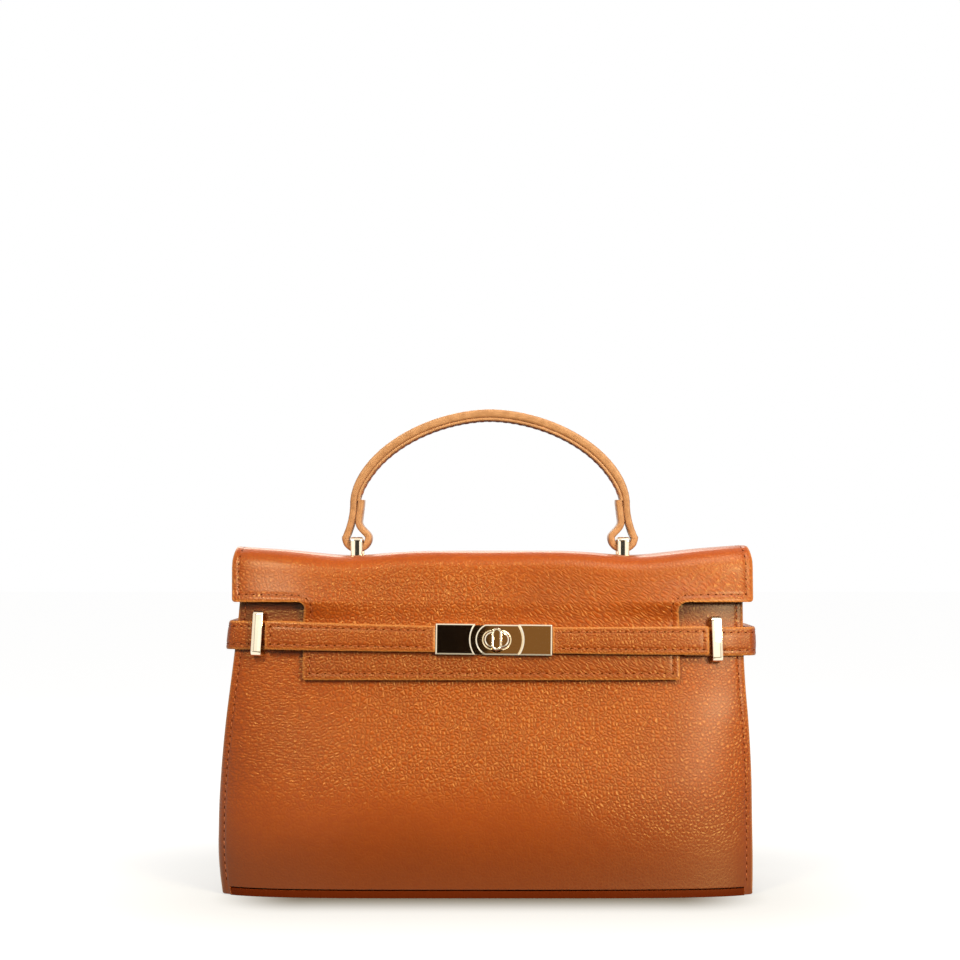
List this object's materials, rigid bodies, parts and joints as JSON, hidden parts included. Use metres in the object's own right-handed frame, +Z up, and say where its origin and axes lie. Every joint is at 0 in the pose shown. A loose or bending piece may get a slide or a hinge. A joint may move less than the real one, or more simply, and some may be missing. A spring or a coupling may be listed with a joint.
{
  "type": "handbag",
  "caption": "Structured leather handbag with an arched top handle, a notched front flap, side straps and a turn-lock clasp.",
  "frame": {"origin": "centre of the base's underside, on the surface the bag stands on", "axes": "+X to the right seen from the front, +Y from the front to the back, +Z up"},
  "size_m": [0.2731, 0.105, 0.2456],
  "materials": {
    "shell": "pebbled grain, semi-matte",
    "lining": "smooth, matte",
    "board": "bonded leather board, matte",
    "hardware": "polished, gold plated"
  },
  "bodies": {
    "body": {"front_panel": "shell", "back_panel": "shell", "front_board": "board", "back_board": "board", "front_lining": "lining", "back_lining": "lining", "gusset_left": "shell", "gusset_right": "shell", "gusset_lining_left": "lining", "gusset_lining_right": "lining", "base_panel": "shell", "base_board": "board", "base_lining": "lining", "slip_pocket": "lining", "side_strap_left": "shell", "side_strap_right": "shell", "strap_loop_left": "hardware", "strap_loop_right": "hardware", "lock_base": "hardware", "lock_backplate": "hardware"},
    "flap": {"flap_top": "shell", "flap_lining": "lining", "flap_tongue": "shell", "tongue_lining": "lining", "handle_staple_left": "hardware", "handle_staple_right": "hardware", "staple_plate_left": "hardware", "staple_plate_right": "hardware"},
    "handle": {"handle_strap": "shell", "handle_under": "shell"},
    "left_strap": {"strap_left": "shell", "clasp_plate_left": "hardware"},
    "right_strap": {"strap_right": "shell", "clasp_plate_right": "hardware"},
    "toggle": {"lock_toggle": "hardware", "lock_stem": "hardware"}
  },
  "joints": [
    {"name": "flap_hinge", "type": "hinge", "parent": "body", "child": "flap", "pos_m": [0, 0.02686, 0.1659], "axis": [-1, 0, 0], "range_deg": [0, 110], "deforming": ["flap_tongue", "tongue_lining"]},
    {"name": "handle_swing", "type": "hinge", "parent": "flap", "child": "handle", "pos_m": [0, 0, 0.1785], "axis": [1, 0, 0], "range_deg": [-10, 10]},
    {"name": "right_strap_hinge", "type": "hinge", "parent": "body", "child": "right_strap", "pos_m": [0.11053, -0.03628, 0.12736], "axis": [0, 0.1438, 0.9896], "range_deg": [0, 100]},
    {"name": "left_strap_hinge", "type": "hinge", "parent": "body", "child": "left_strap", "pos_m": [-0.11355, -0.03549, 0.13006], "axis": [0, -0.142, -0.9899], "range_deg": [0, 66]},
    {"name": "toggle_turn", "type": "hinge", "parent": "body", "child": "toggle", "pos_m": [0.0034, -0.03941, 0.12797], "axis": [0, -0.9878, 0.1557], "range_deg": [0, 90]}
  ],
  "couplings": [
    {"joint": "left_strap_hinge", "follows": "right_strap_hinge", "ratio": 0.65}
  ]
}
